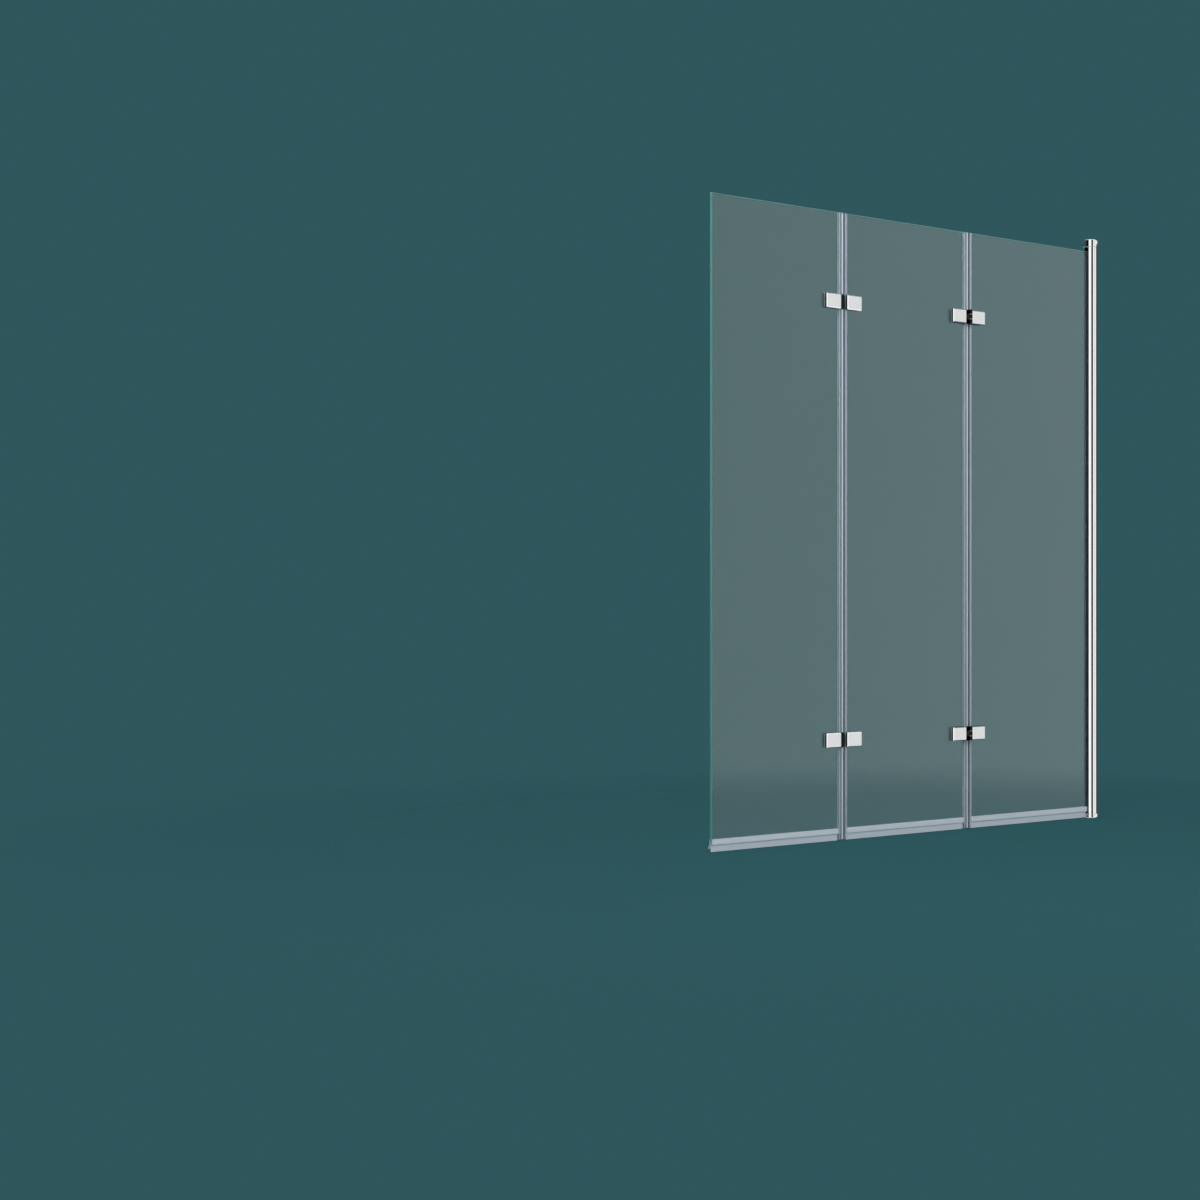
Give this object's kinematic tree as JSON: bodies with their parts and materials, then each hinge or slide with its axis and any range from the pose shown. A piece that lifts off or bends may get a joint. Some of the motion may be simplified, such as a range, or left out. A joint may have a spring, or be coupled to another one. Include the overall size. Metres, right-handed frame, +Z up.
{
  "type": "folding bath screen",
  "caption": "Frameless folding bath screen: clear glass panels on chrome clamp hinges, carried by a round chrome wall post that swings inwards.",
  "frame": {"origin": "centre of the wall channel's back face: on the wall, in the middle plane of the glass and half way up the post", "axes": "+X into the wall, so that the screen reaches towards -X; +Y from the room towards the bath; +Z up"},
  "size_m": [1.3, 0.035, 1.4],
  "materials": {
    "glass": "polished clear safety glass with ground edges",
    "chrome": "bright chrome plate",
    "channel": "bright anodised aluminium",
    "clear_seal": "clear soft plastic, slightly milky",
    "nylon": "natural nylon",
    "steel": "stainless steel"
  },
  "bodies": {
    "wall_mount": {"bottom_bracket": "chrome", "bottom_pivot_pin": "steel", "bracket_screws": "steel", "channel_lip_seals": "clear_seal", "top_bracket": "chrome", "top_pivot_pin": "steel", "wall_channel": "channel"},
    "wall_panel": {"bottom_bush": "nylon", "post_gasket": "clear_seal", "post_tube": "chrome", "top_bush": "nylon", "wall_bottom_seal": "clear_seal", "wall_fold_bulb_seal": "clear_seal", "wall_fold_hinge_washers": "nylon", "wall_fold_lower_hinge_pin": "steel", "wall_fold_lower_hinge_wall_cover": "chrome", "wall_fold_lower_hinge_wall_leaf": "chrome", "wall_fold_upper_hinge_pin": "steel", "wall_fold_upper_hinge_wall_cover": "chrome", "wall_fold_upper_hinge_wall_leaf": "chrome", "wall_fold_wall_hinge_gaskets": "clear_seal", "wall_fold_wall_hinge_screws": "steel", "wall_glass": "glass"},
    "middle_panel": {"free_fold_bulb_seal": "clear_seal", "free_fold_hinge_washers": "nylon", "free_fold_lower_hinge_pin": "steel", "free_fold_lower_hinge_wall_cover": "chrome", "free_fold_lower_hinge_wall_leaf": "chrome", "free_fold_upper_hinge_pin": "steel", "free_fold_upper_hinge_wall_cover": "chrome", "free_fold_upper_hinge_wall_leaf": "chrome", "free_fold_wall_hinge_gaskets": "clear_seal", "free_fold_wall_hinge_screws": "steel", "middle_bottom_seal": "clear_seal", "middle_glass": "glass", "wall_fold_edge_seal": "clear_seal", "wall_fold_free_hinge_gaskets": "clear_seal", "wall_fold_free_hinge_screws": "steel", "wall_fold_lower_hinge_free_cover": "chrome", "wall_fold_lower_hinge_free_leaf": "chrome", "wall_fold_upper_hinge_free_cover": "chrome", "wall_fold_upper_hinge_free_leaf": "chrome"},
    "free_panel": {"free_bottom_seal": "clear_seal", "free_fold_edge_seal": "clear_seal", "free_fold_free_hinge_gaskets": "clear_seal", "free_fold_free_hinge_screws": "steel", "free_fold_lower_hinge_free_cover": "chrome", "free_fold_lower_hinge_free_leaf": "chrome", "free_fold_upper_hinge_free_cover": "chrome", "free_fold_upper_hinge_free_leaf": "chrome", "free_glass": "glass"}
  },
  "joints": [
    {"name": "wall_swing", "type": "hinge", "parent": "wall_mount", "child": "wall_panel", "pos_m": [-0.022, 0, 0], "axis": [0, 0, -1], "range_deg": [0, 90]},
    {"name": "middle_fold", "type": "hinge", "parent": "wall_panel", "child": "middle_panel", "pos_m": [-0.483, -0.013, 0], "axis": [0, 0, 1], "range_deg": [0, 180]},
    {"name": "free_fold", "type": "hinge", "parent": "middle_panel", "child": "free_panel", "pos_m": [-0.903, 0.013, 0], "axis": [0, 0, -1], "range_deg": [0, 180]}
  ]
}
